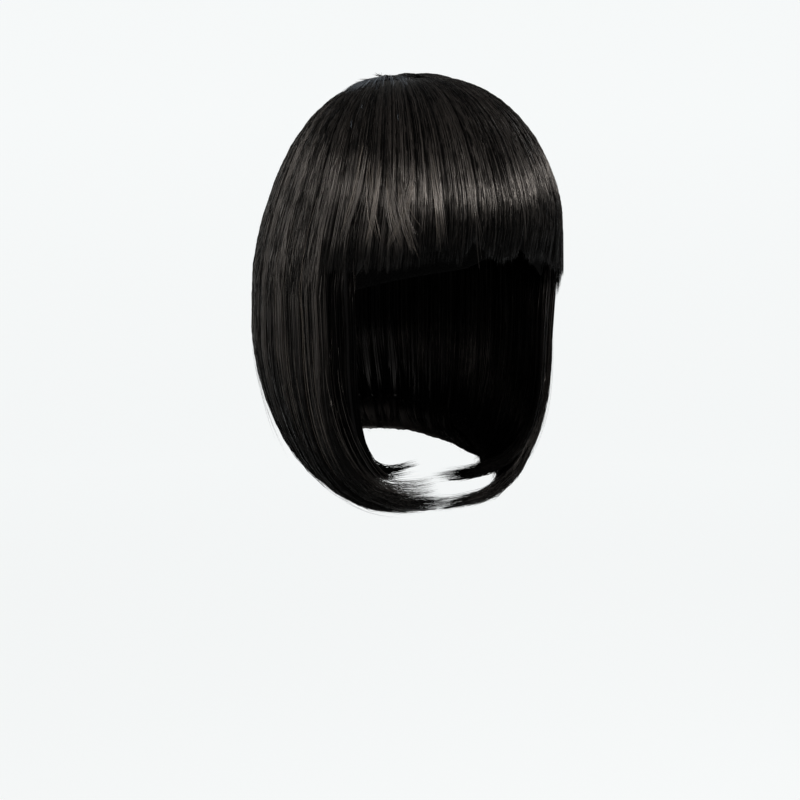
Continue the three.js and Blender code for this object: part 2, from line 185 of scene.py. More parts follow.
@dataclass(frozen=True)
class HairForm:
    """The body of hair that all strands follow, the same one that the solids have."""

    half_width: float = 95.5
    front: float = 112.0
    back: float = 117.0
    lift: float = 12.0
    widest: float = 148.0
    drop: float = 260.0
    set_back: float = 6.0
    lean: float = 9.0
    sweep: float = 8.0
    dome_fullness: float = 2.42
    curl_fullness: float = 1.82
    whorl_set_back: float = 24.0
    whorl_radius: float = 12.0
    fringe_edge: float = 68.0
    tip_angles: tuple = (55.0, 68.0, 82.0, 96.0, 110.0, 125.0, 150.0, 180.0)
    tip_right: tuple = (-6.0, 1.0, 22.0, 46.0, 75.0, 102.0, 140.0, 180.0)
    tip_left: tuple = (-14.0, -8.0, 14.0, 38.0, 72.0, 102.0, 140.0, 180.0)
    tip_out: tuple = (0.4, 0.41, 0.42, 0.43, 0.48, 0.55, 0.56, 0.6)
    tip_down: tuple = (0.99, 0.995, 1.0, 0.98, 0.945, 0.915, 0.89, 0.885)

    def middle(self, z: Array) -> Array:
        """Y of the hair's middle: forward over the forehead, back at the ears, forward at the tips."""
        lean = self.lean * ease(z, -0.75 * self.widest, -0.3 * self.widest)
        return self.set_back - lean - self.sweep * ease(-z, self.widest, self.drop)

    def height(self, x: Array, y: Array, middle: Array) -> Array:
        """Height of the hair's dome over a point: a superellipse of the share of the way out to its edge."""
        length = np.where(y < middle, self.front, self.back)
        level = np.minimum(1.0, np.hypot(x / self.half_width, (y - middle) / length))
        up = (1.0 - level**self.dome_fullness) ** (1.0 / self.dome_fullness)
        return self.lift - (self.widest + self.lift) * (1.0 - up)

    def draw_in(self, lie: Lie, angle: Array, travel: Array, z: Array) -> Array:
        """How far a panel draws in from the body: eased over the brow and over the cheeks."""
        far = np.abs(angle)
        tuck = lie.tuck * (1.0 - ease(far, 20.0, self.fringe_edge))
        tuck = tuck * ease(-z, 0.42 * self.widest, 0.7 * self.widest)
        hug = lie.hug * (1.0 - ease(far, self.fringe_edge, 104.0))
        hug = hug * ease(-z, 0.72 * self.widest, 0.95 * self.widest)
        return tuck + hug * (1.0 - ease(travel, 1.0, 1.45))

    def point(
        self,
        lie: Lie,
        angle: Array,
        travel: Array,
        along: Array = 0.0,
        tip_shift: Array = 0.0,
        drop_share: Array = 1.0,
        out_share: Array = 1.0,
    ) -> Array:
        """Point on the outside of the hair.

        Down to the widest level the strand runs over a superellipse dome in the plane of its angle. Below
        it, a second superellipse draws it in to its tip, while its angle swings to the tip's angle by the
        fifth power of the way.

        Args:
            lie: how the panel lies.
            angle: degrees from the face at which the strand leaves the whorl.
            travel: 0 at the whorl, 1 at the widest level, 2 at the tip.
            along: degrees to move round the same body.
            tip_shift: degrees that the tip comes to rest behind its usual angle.
            drop_share: share of the usual depth of the tip.
            out_share: share of the usual distance of the tip from the middle.

        Returns:
            Points in millimetres, with the coordinates on the last axis.
        """
        angle, travel = np.broadcast_arrays(np.asarray(angle, float), np.asarray(travel, float))
        out, up = quarter_turn(travel, self.dome_fullness)
        z = self.lift - (self.widest + self.lift) * (1.0 - up)
        far = np.abs(angle)
        fold = folded(angle)
        curl_down, curl_out = quarter_turn(travel - 1.0, self.curl_fullness)
        tip_out = np.interp(fold, self.tip_angles, self.tip_out) * out_share
        tip_drop = self.drop * np.interp(fold, self.tip_angles, self.tip_down) * drop_share
        column = self.tip_right if lie.side is Side.RIGHT else self.tip_left
        tip_angle = np.interp(fold, self.tip_angles, column) + tip_shift
        swept = mix(fold, tip_angle, np.clip(travel - 1.0, 0.0, 1.0) ** 5)
        swept = np.where(far > 180.0, 360.0 - swept, swept) * np.where(angle < 0, -1.0, 1.0)
        below = travel > 1.0
        out = np.where(below, tip_out + (1.0 - tip_out) * curl_out, out)
        z = np.where(below, -self.widest - (tip_drop - self.widest) * curl_down, z)
        turned = np.radians(np.where(below, swept, angle) + along)
        middle = self.middle(z)
        length = np.where(np.cos(turned) > 0, self.front, self.back)
        x = -out * self.half_width * np.sin(turned)
        y = middle - out * length * np.cos(turned) + self.whorl_set_back * (1.0 - out * out) ** 2
        domed = mix(self.height(x, y, middle), z, ease(out, 0.75, 0.95))
        z = np.where(travel < 1.0, domed, z)
        kept = 1.0 - self.draw_in(lie, angle, travel, z) / np.maximum(1.0, np.hypot(x, y))
        return np.stack([lie.side.value * x * kept, y * kept, z], axis=-1)

    def frame(self, lie: Lie, angle: Array, travel: Array, **tips: Array) -> tuple[Array, Array, Array]:
        """Point and directions on the body of hair, by differences of nearby points.

        Args:
            lie: how the panel lies.
            angle: degrees from the face.
            travel: way from the whorl to the tip.
            **tips: the tip's own shifts, as `point` takes them.

        Returns:
            The point, the direction aside from the strand, the same way round the head on both sides, and
            the outward direction.
        """
        step = 1e-3
        ahead = self.point(lie, angle, travel, along=1.0, **tips)
        behind = self.point(lie, angle, travel, along=-1.0, **tips)
        lower = self.point(lie, angle, travel + step, **tips)
        upper = self.point(lie, angle, travel - step, **tips)
        down = unit(lower - upper)
        around = ahead - behind
        outward = lie.side.value * unit(np.cross(around, down))
        aside = lie.side.value * unit(around - down * np.sum(around * down, axis=-1, keepdims=True))
        return self.point(lie, angle, travel, **tips), aside, outward

    def travel_at_drop(self, drop: Array) -> Array:
        """Travel at which a strand of the dome has come down this far, the dome's formula turned round."""
        height = np.maximum(0.0, 1.0 - (drop + self.lift) / (self.widest + self.lift))
        return np.arccos(height ** (self.dome_fullness / 2)) / (math.pi / 2)


HAIR = HairForm()
HEAD = HeadForm()


def linear(colour: str) -> tuple[float, float, float, float]:
    """Colour for a shader from an sRGB hex value.

    Args:
        colour: six hex digits.

    Returns:
        Red, green, blue and alpha, with the curve of sRGB taken off.
    """
    parts = [int(colour[i : i + 2], 16) / 255.0 for i in (0, 2, 4)]
    flat = [p / 12.92 if p <= 0.04045 else ((p + 0.055) / 1.055) ** 2.4 for p in parts]
    return (*flat, 1.0)


def new_material(name: str) -> tuple[bpy.types.Material, bpy.types.NodeTree]:
    """Starts a material, and gives it with its empty node tree."""
    made = bpy.data.materials.new(name)
    made.use_nodes = True
    made.node_tree.nodes.clear()
    return made, made.node_tree


def add_node(
    tree: bpy.types.NodeTree, kind: str, settings: Optional[dict] = None, **links: object
) -> bpy.types.Node:
    """Adds a node with its settings and links.

    Args:
        tree: the material's node tree.
        kind: Blender's name of the node.
        settings: the node's own properties by name.
        **links: inputs by name, with _ for a space. A socket is linked, anything else is set.

    Returns:
        The node.
    """
    node = tree.nodes.new(kind)
    for name, value in (settings or {}).items():
        setattr(node, name, value)
    for name, value in links.items():
        key = int(name[1:]) if name[0] == "i" and name[1:].isdigit() else name.replace("_", " ")
        if isinstance(value, bpy.types.NodeSocket):
            tree.links.new(value, node.inputs[key])
        else:
            node.inputs[key].default_value = value
    return node


def add_ramp(
    tree: bpy.types.NodeTree, share: bpy.types.NodeSocket, dark: tuple, light: tuple
) -> bpy.types.NodeSocket:
    """Adds a colour ramp between two stops.

    Args:
        tree: the material's node tree.
        share: the value that the ramp reads.
        dark: place and sRGB hex value of the lower stop.
        light: the same for the upper stop.

    Returns:
        The colour.
    """
    ramp = add_node(tree, "ShaderNodeValToRGB", Fac=share)
    for stop, (position, colour) in zip(ramp.color_ramp.elements, (dark, light)):
        stop.position = position
        stop.color = linear(colour)
    return ramp.outputs["Color"]


@dataclass(frozen=True)
class FibreFinish:
    """Modacrylic hair fibre, spun and drawn smooth, dyed off-black in the melt.

    The dye is through and through, so the colour is nearly black, and what the eye reads as brown-grey is
    the light on the smooth wall of each fibre. The light spreads across the fibres and hardly along them.
    A strand here stands for a few dozen fibres of 0.08 mm, which are too fine to show.
    """

    name: str
    dark: str = "050505"
    light: str = "1D1A18"
    tint: str = "F8F1EB"
    roughness: float = 0.31
    gloss: tuple = (0.12, 0.95)
    anisotropy: float = 0.5

    def material(self) -> bpy.types.Material:
        """Builds the strands' material: colour and gloss from each point's tone, which holds the strand's own
        value and the painted shade towards its tips, and slow change along it.
        """
        made, tree = new_material(self.name)
        tone = add_node(tree, "ShaderNodeAttribute", {"attribute_name": TONE})
        place = add_node(tree, "ShaderNodeTexCoord")
        noise = add_node(tree, "ShaderNodeTexNoise", Vector=place.outputs["Object"], Scale=55.0, Detail=2.0)
        shade = add_node(
            tree, "ShaderNodeMath", {"operation": "MULTIPLY_ADD"},
            i0=noise.outputs["Fac"], i1=0.5, i2=tone.outputs["Fac"],
        )
        colour = add_ramp(tree, shade.outputs[0], (0.35, self.dark), (1.0, self.light))
        rough = add_node(
            tree, "ShaderNodeMapRange", i0=shade.outputs[0], i1=0.2, i2=1.2,
            i3=self.roughness - 0.05, i4=self.roughness + 0.08,
        )
        gloss = add_node(
            tree, "ShaderNodeMapRange", i0=shade.outputs[0], i1=0.35, i2=1.0, i3=self.gloss[0], i4=self.gloss[1]
        )
        across = add_node(tree, "ShaderNodeTangent", {"direction_type": "UV_MAP", "uv_map": STRAND_UV})
        body = add_node(
            tree, "ShaderNodeBsdfPrincipled",
            Base_Color=colour, Roughness=rough.outputs[0], Anisotropic=self.anisotropy,
            Tangent=across.outputs["Tangent"], Specular_IOR_Level=gloss.outputs[0], IOR=1.5,
            Specular_Tint=linear(self.tint),
        )
        add_node(tree, "ShaderNodeOutputMaterial", Surface=body.outputs["BSDF"])
        return made


@dataclass(frozen=True)
class MassFinish:
    """The inner mass of the same fibre, combed flat, seen between the strands that lie over it.

    Its streaks are 0.7 mm apart, as coarse as the strands over it, and run the way that the hair is combed.
    """

    name: str
    dark: str = "040404"
    light: str = "100D0C"
    roughness: float = 0.42
    specular: float = 0.18
    anisotropy: float = 0.7
    streak: float = 0.7
    stretch: float = 0.02

    def material(self) -> bpy.types.Material:
        """Builds the mass's material: streaks along V for colour, gloss and relief."""
        made, tree = new_material(self.name)
        place = add_node(tree, "ShaderNodeUVMap", {"uv_map": STRAND_UV})
        scale = UV_UNIT / self.streak
        turned = add_node(
            tree, "ShaderNodeMapping", Vector=place.outputs["UV"], Scale=(scale, scale * self.stretch, 1.0)
        )
        fine = add_node(tree, "ShaderNodeTexNoise", Vector=turned.outputs[0], Scale=1.0, Detail=3.0)
        wide = add_node(tree, "ShaderNodeTexNoise", Vector=turned.outputs[0], Scale=0.21, Detail=2.0)
        both = add_node(
            tree, "ShaderNodeMath", {"operation": "MULTIPLY"}, i0=fine.outputs["Fac"], i1=wide.outputs["Fac"]
        )
        colour = add_ramp(tree, both.outputs[0], (0.15, self.dark), (0.45, self.light))
        relief = add_node(tree, "ShaderNodeBump", Height=both.outputs[0], Strength=0.6, Distance=0.0006)
        rough = add_node(
            tree, "ShaderNodeMapRange", i0=fine.outputs["Fac"], i1=0.3, i2=0.7,
            i3=self.roughness - 0.08, i4=self.roughness + 0.1,
        )
        across = add_node(tree, "ShaderNodeTangent", {"direction_type": "UV_MAP", "uv_map": STRAND_UV})
        body = add_node(
            tree, "ShaderNodeBsdfPrincipled",
            Base_Color=colour, Roughness=rough.outputs[0], Anisotropic=self.anisotropy,
            Tangent=across.outputs["Tangent"], Specular_IOR_Level=self.specular, IOR=1.5,
            Normal=relief.outputs["Normal"],
        )
        add_node(tree, "ShaderNodeOutputMaterial", Surface=body.outputs["BSDF"])
        return made


@dataclass(frozen=True)
class NetFinish:
    """Black stretch net of textured nylon yarn, knitted on a warp frame with a 2.4 mm mesh.

    The yarn is matt and hairy, so that it gives no gleam, and the mesh reads as a fine diamond relief.
    """

    name: str
    yarn: str = "0D0C0B"
    hole: str = "040303"
    pitch: float = 2.4

    def material(self) -> bpy.types.Material:
        """Builds the net's material: two sets of slanted threads from the sine of the UV lengths."""
        made, tree = new_material(self.name)
        place = add_node(tree, "ShaderNodeUVMap", {"uv_map": STRAND_UV})
        per_unit = UV_UNIT / self.pitch
        waves = []
        for turn in (45.0, -45.0):
            turned = add_node(
                tree, "ShaderNodeMapping", Vector=place.outputs["UV"],
                Rotation=(0.0, 0.0, math.radians(turn)), Scale=(per_unit, per_unit, 1.0),
            )
            wave = add_node(
                tree, "ShaderNodeTexWave", {"wave_type": "BANDS", "bands_direction": "X"},
                Vector=turned.outputs[0], Scale=0.314, Distortion=0.4, Detail=1.0,
            )
            waves.append(wave.outputs["Fac"])
        threads = add_node(tree, "ShaderNodeMath", {"operation": "MAXIMUM"}, i0=waves[0], i1=waves[1])
        colour = add_ramp(tree, threads.outputs[0], (0.55, self.hole), (0.85, self.yarn))
        relief = add_node(tree, "ShaderNodeBump", Height=threads.outputs[0], Strength=0.8, Distance=0.0004)
        body = add_node(
            tree, "ShaderNodeBsdfPrincipled",
            Base_Color=colour, Roughness=0.85, Specular_IOR_Level=0.25,
            Sheen_Weight=0.05, Sheen_Roughness=0.5, Normal=relief.outputs["Normal"],
        )
        add_node(tree, "ShaderNodeOutputMaterial", Surface=body.outputs["BSDF"])
        return made


@dataclass(frozen=True)
class SweepFinish:
    """Matt translucent sheet of a round photo sweep, lit from outside.

    It is white where the camera looks and pale grey elsewhere, as the tone of each point says, so that the
    hair has a bright ground behind it and a dim room in front of it.
    """

    name: str = "white_photo_sweep"
    colour: str = "707374"
    glow_colour: str = "F9FBFB"

    def material(self) -> bpy.types.Material:
        """Builds the sweep's material: the light of each point comes from its tone."""
        made, tree = new_material(self.name)
        made.cycles.emission_sampling = "NONE"
        tone = add_node(tree, "ShaderNodeAttribute", {"attribute_name": TONE})
        body = add_node(
            tree, "ShaderNodeBsdfPrincipled",
            Base_Color=linear(self.colour), Roughness=0.95, Specular_IOR_Level=0.1,
            Emission_Color=linear(self.glow_colour), Emission_Strength=tone.outputs["Fac"],
        )
        add_node(tree, "ShaderNodeOutputMaterial", Surface=body.outputs["BSDF"])
        return made


def make_object(
    name: str,
    points: Array,
    quads: Array,
    triangles: Array,
    uv: Array,
    material: bpy.types.Material,
    tone: Optional[Array] = None,
) -> bpy.types.Object:
    """Makes a smooth mesh object from whole arrays.

    Args:
        name: the piece's name.
        points: vertices in millimetres.
        quads: four vertex numbers a row, counter-clockwise from outside.
        triangles: three vertex numbers a row.
        uv: U and V for each vertex.
        material: the finish.
        tone: a value for each vertex, kept as an attribute.

    Returns:
        The object, at the origin, with its place in its mesh.
    """
    mesh = bpy.data.meshes.new(name)
    corners = np.concatenate([quads.ravel(), triangles.ravel()]).astype(np.int32)
    sizes = np.concatenate([np.full(len(quads), 4), np.full(len(triangles), 3)]).astype(np.int32)
    mesh.vertices.add(len(points))
    mesh.vertices.foreach_set("co", (points / METRE).astype(np.float32).ravel())
    mesh.loops.add(len(corners))
    mesh.loops.foreach_set("vertex_index", corners)
    mesh.polygons.add(len(sizes))
    mesh.polygons.foreach_set("loop_start", np.concatenate([[0], np.cumsum(sizes)[:-1]]).astype(np.int32))
    mesh.polygons.foreach_set("use_smooth", np.ones(len(sizes), bool))
    layer = mesh.uv_layers.new(name=STRAND_UV)
    layer.data.foreach_set("uv", uv[corners].astype(np.float32).ravel())
    if tone is not None:
        attribute = mesh.attributes.new(TONE, "FLOAT", "POINT")
        attribute.data.foreach_set("value", tone.astype(np.float32))
    mesh.update()
    mesh.validate()
    mesh.materials.append(material)
    piece = bpy.data.objects.new(name, mesh)
    bpy.context.scene.collection.objects.link(piece)
    return piece


@dataclass
class Strands:
    """Strands as tapered three-sided prisms, closed at the root and drawn to a point at the tip."""

    paths: Array
    asides: Array
    outwards: Array
    widths: Array
    heights: Array
    tones: Array
    rolls: Array

    @staticmethod
    def joined(parts: Sequence["Strands"]) -> "Strands":
        """One set of strands from several with the same number of points."""
        names = ("paths", "asides", "outwards", "widths", "heights", "tones", "rolls")
        return Strands(*[np.concatenate([getattr(p, n) for p in parts]) for n in names])

    def build(self, name: str, material: bpy.types.Material) -> bpy.types.Object:
        """Builds the mesh.

        At each point of a path but the last stand a left, a top and a right corner: the path plus or minus
        half the width aside, and plus the height outward, all turned about the path by the strand's roll.
        The last point is the tip. U runs across the strand and V along it.

        Args:
            name: the piece's name.
            material: its finish.

        Returns:
            The object.
        """
        count, rows = self.paths.shape[:2]
        rings = rows - 1
        turn = self.rolls[:, None, None]
        aside = self.asides * np.cos(turn) + self.outwards * np.sin(turn)
        outward = self.outwards * np.cos(turn) - self.asides * np.sin(turn)
        half = 0.5 * self.widths[..., None]
        high = self.heights[..., None]
        body = self.paths[:, :rings]
        corners = np.stack(
            [
                body - aside[:, :rings] * half[:, :rings],
                body + outward[:, :rings] * high[:, :rings],
                body + aside[:, :rings] * half[:, :rings],
            ],
            axis=2,
        )
        stride = rings * 3 + 1
        points = np.concatenate([corners.reshape(count, rings * 3, 3), self.paths[:, rings:]], axis=1)
        base = (np.arange(count) * stride)[:, None, None]
        ring = np.arange(rings - 1)[None, :, None] * 3
        here = np.arange(3)[None, None, :]
        after = (here + 1) % 3
        a, b = base + ring + here, base + ring + after
        quads = np.stack([a, b, b + 3, a + 3], axis=-1).reshape(-1, 4)
        last = base[:, 0] + (rings - 1) * 3
        tip = np.repeat(base[:, 0] + rings * 3, 3, axis=1)
        tips = np.stack([last + here[0], last + after[0], tip], axis=-1).reshape(-1, 3)
        root = base[:, 0] + np.array([[2, 1, 0]])
        triangles = np.concatenate([tips, root])
        along = np.linspace(0.0, 1.0, rows)
        u = np.tile(np.array([0.0, 0.5, 1.0]), rings)
        strand_uv = np.stack([np.append(u, 0.5), np.append(np.repeat(along[:rings], 3), 1.0)], axis=-1)
        uv = np.tile(strand_uv, (count, 1, 1)) + self.rolls[:, None, None]
        tone = self.tones if self.tones.ndim == 2 else np.repeat(self.tones[:, None], rows, axis=1)
        tone = np.concatenate([np.repeat(tone[:, :rings], 3, axis=1), tone[:, rings:]], axis=1)
        flat = uv.reshape(-1, 2)
        return make_object(name, points.reshape(-1, 3), quads, triangles, flat, material, tone.ravel())


def closed_shell(outer: Array, inner: Array, uv: Array, ring: bool = False) -> tuple[Array, Array, Array]:
    """Closed solid between two grids of points.

    Args:
        outer: outside points as rows by columns.
        inner: inside points, the same grid.
        uv: U and V of the grid.
        ring: whether the last column meets the first.

    Returns:
        Points, quads and UVs.
    """
    rows, columns = outer.shape[:2]
    ids = np.arange(rows * columns).reshape(rows, columns)
    after = np.roll(ids, -1, axis=1) if ring else ids[:, 1:]
    here = ids if ring else ids[:, :-1]
    total = rows * columns
    top = np.stack([here[:-1], after[:-1], after[1:], here[1:]], axis=-1).reshape(-1, 4)
    under = top[:, ::-1] + total
    ends = []
    for row, flip in ((0, True), (rows - 1, False)):
        wall = np.stack([here[row], after[row], after[row] + total, here[row] + total], axis=-1)
        ends.append(wall[:, ::-1] if flip else wall)
    if not ring:
        for column, flip in ((0, False), (columns - 1, True)):
            edge = ids[:, column]
            wall = np.stack([edge[:-1], edge[1:], edge[1:] + total, edge[:-1] + total], axis=-1)
            ends.append(wall[:, ::-1] if flip else wall)
    points = np.concatenate([outer.reshape(-1, 3), inner.reshape(-1, 3)])
    flat = uv.reshape(-1, 2)
    return points, np.concatenate([top, under, *ends]), np.concatenate([flat, flat])


def waves(random: np.random.Generator, count: int, rows: int, turns: tuple[float, float]) -> Array:
    """Smooth wander for each strand: a sum of two sines of its own length and phase.

    Args:
        random: the seeded source.
        count: number of strands.
        rows: points along each.
        turns: least and most waves along a strand.

    Returns:
        Values between about -1 and 1, strands by points.
    """
    along = np.linspace(0.0, 1.0, rows)[None, :]
    total = np.zeros((count, rows))
    for share in (0.65, 0.35):
        many = random.uniform(*turns, (count, 1)) / share * 0.65
        total += share * np.sin(2 * math.pi * (many * along + random.uniform(0, 1, (count, 1))))
    return total


@dataclass(frozen=True)
class Comb:
    """How the strands of a panel are combed: the sizes of its locks and how far they gather and wander.

    Angles are degrees round the head. A strand's root sinks by root_sink, which fades over root_fade.
    """

    lock: float = 7.0
    lock_span: tuple = (0.35, 1.65)
    wisp: float = 1.5
    lock_pull: tuple = (0.05, 0.26)
    wisp_pull: tuple = (0.2, 0.55)
    lock_groove: float = 0.7
    spread: float = 1.6
    lock_wander: float = 0.5
    wisp_wander: float = 0.35
    strand_wander: float = 0.3
    width: tuple = (0.35, 0.8)
    taper: float = 0.2
    ragged: float = 0.03
    shorter: float = 0.06
    edge: float = 2.5
    spill: float = 0.8
    tip_turn: float = 0.0
    front_turn: float = 0.0
    front_fade: tuple = (68.0, 86.0)
    tip_open: float = 0.0
    # Painted shade: the next three rows darken the strands' tone, and with it their colour and gloss, over a
    # span of travel towards the tips, and by only a quarter as much on roots past a span of angles.
    painted_tip_shade: float = 0.9
    painted_tip_shade_from: tuple = (1.0, 1.42)
    painted_tip_shade_until: tuple = (360.0, 400.0)
    lock_lag: float = 5.0
    lag_fade: tuple = (0.0, 14.0)
    root_sink: float = 2.4
    root_fade: tuple = (0.105, 0.18)


@dataclass
class HairPanel:
    """A panel of hair: an inner mass that fills its place, and the strands over it and round its edges."""

    name: str
    node: str
    lie: Lie
    low: float
    high: float
    strands: int
    rows: int = 15
    start: float = 0.095
    reach: Callable[[Array], Array] = field(default=lambda angle: np.full_like(angle, 2.0))
    depth: Callable[[Array, Array], Array] = field(default=lambda angle, travel: np.zeros_like(angle))
    mass_rows: int = 26
    mass_depth: float = 1.7
    thickness: float = 2.8
    mass_short: float = 0.08
    inset: float = 0.9
    inner_share: float = 0.12
    inner_start: float = 1.2
    proud: float = 0.5
    comb: Comb = field(default_factory=Comb)
    seed: int = 1

    def groups(self, random: np.random.Generator, angle: Array, size: float) -> tuple[Array, Array, Array]:
        """Sorts angles into locks of random widths, by the comb's shares of the mean.

        Args:
            random: the seeded source.
            angle: angles of the strands.
            size: mean width of a lock in degrees.

        Returns:
            For each strand the number of its lock, the lock's middle angle and half the lock's width.
        """
        count = max(2, int(round((self.high - self.low + 2.0) / size)))
        widths = random.uniform(*self.comb.lock_span, count)
        edges = np.concatenate([[0.0], np.cumsum(widths) / widths.sum()])
        edges = self.low - 1.0 + edges * (self.high - self.low + 2.0)
        number = np.clip(np.searchsorted(edges, angle) - 1, 0, count - 1)
        middle = 0.5 * (edges[number] + edges[number + 1])
        return number, middle, 0.5 * (edges[number + 1] - edges[number])

    def tips(self, angle: Array) -> dict[str, Array]:
        """How far the tips turn round at the chin, and stand open behind the cheek."""
        far = np.abs(angle)
        turn = self.comb.tip_turn * (1.0 - ease(far, 82.0, 112.0))
        turn = turn + self.comb.front_turn * (1.0 - ease(far, *self.comb.front_fade))
        opened = self.comb.tip_open * ease(far, 80.0, 95.0) * (1.0 - ease(far, 108.0, 125.0))
        return {"tip_shift": turn, "out_share": 1.0 + opened}

    def strand_set(self) -> Strands:
        """Lays the strands.

        Each strand starts at an even random angle. It is drawn towards the middle of its wisp, and the wisp
        towards the middle of its lock, by shares that grow along the way. Lock, wisp and strand each wander
        aside on sines. Locks stand a little higher in the middle than at their edges. Near the panel's two
        edges the strands fill its whole thickness, and some lie on its inner face.

        Returns:
            The strands.
        """
        comb, count, rows = self.comb, self.strands, self.rows
        random = np.random.default_rng(SEED + self.seed)
        root = random.uniform(self.low - comb.spill, self.high + comb.spill, count)
        lock, lock_middle, lock_half = self.groups(random, root, comb.lock)
        wisp, wisp_middle, _ = self.groups(random, root, comb.wisp)
        of_lock, of_wisp = random.uniform(0, 1, (8, MOST_LOCKS)), random.uniform(0, 1, (8, MOST_LOCKS))
        share = np.linspace(0.0, 1.0, rows)[None, :]
        share = share + random.uniform(-0.45, 0.45, (count, 1)) / (rows - 1) * np.sin(math.pi * share) ** 0.5
        ends = self.reach(root) - comb.ragged * np.abs(random.normal(0, 1, count))
        ends = ends - comb.shorter * (0.6 * of_lock[0][lock] + 0.5 * of_wisp[0][wisp])
        inner = random.uniform(0, 1, count) < self.inner_share
        starts = self.start + 0.08 * random.uniform(0, 1, count) ** 2
        starts = np.where(inner, np.maximum(starts, self.inner_start), starts)
        travel = starts[:, None] + (ends - starts)[:, None] * share
        eased = ease(share, 0.05, 1.0)
        lock_pull, wisp_pull = mix(*comb.lock_pull, eased), mix(*comb.wisp_pull, eased)
        wisp_now = mix(wisp_middle[:, None], lock_middle[:, None], lock_pull)
        angle = wisp_now + (root - wisp_middle)[:, None] * (1.0 - wisp_pull)
        stream = np.random.default_rng(SEED + self.seed + 50)
        sway = comb.lock_wander * waves(stream, MOST_LOCKS, rows, (0.3, 0.9))[lock]
        sway = sway + comb.wisp_wander * waves(stream, MOST_LOCKS, rows, (0.4, 1.3))[wisp]
        sway = sway + comb.strand_wander * waves(random, count, rows, (0.4, 1.8))
        angle = angle + sway * share**0.7
        tips = self.tips(root)
        edge = np.minimum(root - self.low, self.high - root)
        lag = comb.lock_lag * of_lock[1][lock] * ease(edge, *comb.lag_fade)
        tips["tip_shift"] = (tips["tip_shift"] + lag + random.normal(0, 1.8, count))[:, None]
        tips["drop_share"] = (1.0 - 0.01 * of_lock[2][lock] - np.abs(random.normal(0, 0.006, count)))[:, None]
        opened = tips["out_share"] + 0.1 * of_wisp[3][wisp]
        tips["out_share"] = (opened + random.normal(0, 0.03, count))[:, None]
        path, aside, outward = HAIR.frame(self.lie, angle, travel, **tips)
        off_middle = np.clip(np.abs(root - lock_middle) / lock_half, 0, 1)[:, None]
        grown = ease(travel, 0.12, 0.5)
        sunk = comb.lock_groove * off_middle**2 * grown * (0.4 + 1.2 * of_lock[4][lock][:, None])
        sunk = sunk + comb.spread * random.uniform(0, 1, count)[:, None] ** 1.4 * mix(0.35, 1.0, grown)
        sunk = sunk + 0.5 * of_lock[5][lock][:, None] - self.proud
        sunk = sunk + comb.root_sink * (1.0 - ease(travel, *comb.root_fade))
        at_edge = (1.0 - ease(edge, 0.3, comb.edge)) * random.uniform(0, 1, count)
        sunk = sunk + ((self.mass_depth + self.thickness) * at_edge)[:, None]
        under_face = self.mass_depth + self.thickness * 0.8 + 0.8 * random.uniform(0, 1, count)
        sunk = np.where(inner[:, None], under_face[:, None], sunk)
        sunk = sunk + 0.3 * waves(random, count, rows, (0.5, 2.0)) + self.depth(angle, travel)
        path = path - outward * sunk[..., None]
        taper = np.clip((1.0 - np.linspace(0, 1, rows)) / comb.taper, 0.0, 1.0) ** 0.7
        width = random.uniform(*comb.width, count)[:, None] * mix(0.6, 1.0, grown) * taper
        tone = 0.33 + 0.3 * random.normal(0, 1, count) + 0.36 * (of_wisp[6][wisp] - 0.5)
        tone = np.clip(tone + 0.26 * (of_lock[6][lock] - 0.5), 0, 1)[:, None]
        # Painted shade: the tone, and so the colour and gloss, falls towards the tips.
        painted_tip_shade = comb.painted_tip_shade * (1.0 - 0.75 * ease(root, *comb.painted_tip_shade_until))[:, None]
        tone = tone * (1.0 - painted_tip_shade * ease(travel, *comb.painted_tip_shade_from))
        rolls = random.normal(0, 0.5, count) + 0.6 * (of_wisp[7][wisp] - 0.5)
        rolls = rolls + 0.4 * (of_lock[7][lock] - 0.5) + np.where(inner, math.pi, 0.0)
        return Strands(path, aside, outward, width, STRAND_HEIGHT * width, tone, rolls)

    def mass(self, material: bpy.types.Material) -> bpy.types.Object:
        """Builds the inner mass: the panel's surface sunk by its depth, with a thickness, closed all round.

        Args:
            material: its finish.

        Returns:
            The object.
        """
        across = max(24, int((self.high - self.low) * 0.7))
        angle = np.linspace(self.low + self.inset, self.high - self.inset, across + 1)[None, :]
        at_corner = ease(np.abs(angle), self.high - 8.0, self.high) if self.low < 0 else 0.0
        end = self.reach(angle[0])[None, :] - self.mass_short * (1.0 + at_corner)
        travel = mix(np.full_like(angle, self.start), end, np.linspace(0, 1, self.mass_rows + 1)[:, None])
        angle = np.broadcast_to(angle, travel.shape)
        path, _, outward = HAIR.frame(self.lie, angle, travel, **self.tips(angle))
        lumps = np.sin(angle * 0.83 + self.seed) + np.sin(angle * 1.71 + 2.0 * self.seed)
        lumps = 0.22 * (lumps + np.sin(angle * 0.37 + travel * 2.0)) * ease(travel, 0.1, 0.4)
        sunk = self.mass_depth + lumps + self.depth(angle, travel)
        thin = self.thickness * (1.0 - 0.93 * ease(travel, end - 0.25, end))
        outer = path - outward * sunk[..., None]
        inner = path - outward * (sunk + thin - 0.8 * lumps)[..., None]
        uv = np.stack([angle * ARC / UV_UNIT, travel * 1.5], axis=-1)
        if self.lie.side is Side.LEFT:
            outer, inner, uv = outer[:, ::-1], inner[:, ::-1], uv[:, ::-1]
        points, quads, flat = closed_shell(outer, inner, uv)
        return make_object(self.name + "_mass", points, quads, np.zeros((0, 3), int), flat, material)

    def build(self, fibre: bpy.types.Material, mass: bpy.types.Material, slot: str) -> None:
        """Builds the panel's two pieces and puts them in the solid's place.

        Args:
            fibre: finish of the strands.
            mass: finish of the mass.
            slot: not used.
        """
        core = self.mass(mass)
        strands = self.strand_set().build(self.name + "_strands", fibre)
        for piece in (core, strands):
            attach(piece, "root")
        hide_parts(self.node)
        LOG.info("%s: %d strands, %d faces", self.name, self.strands, len(strands.data.polygons))


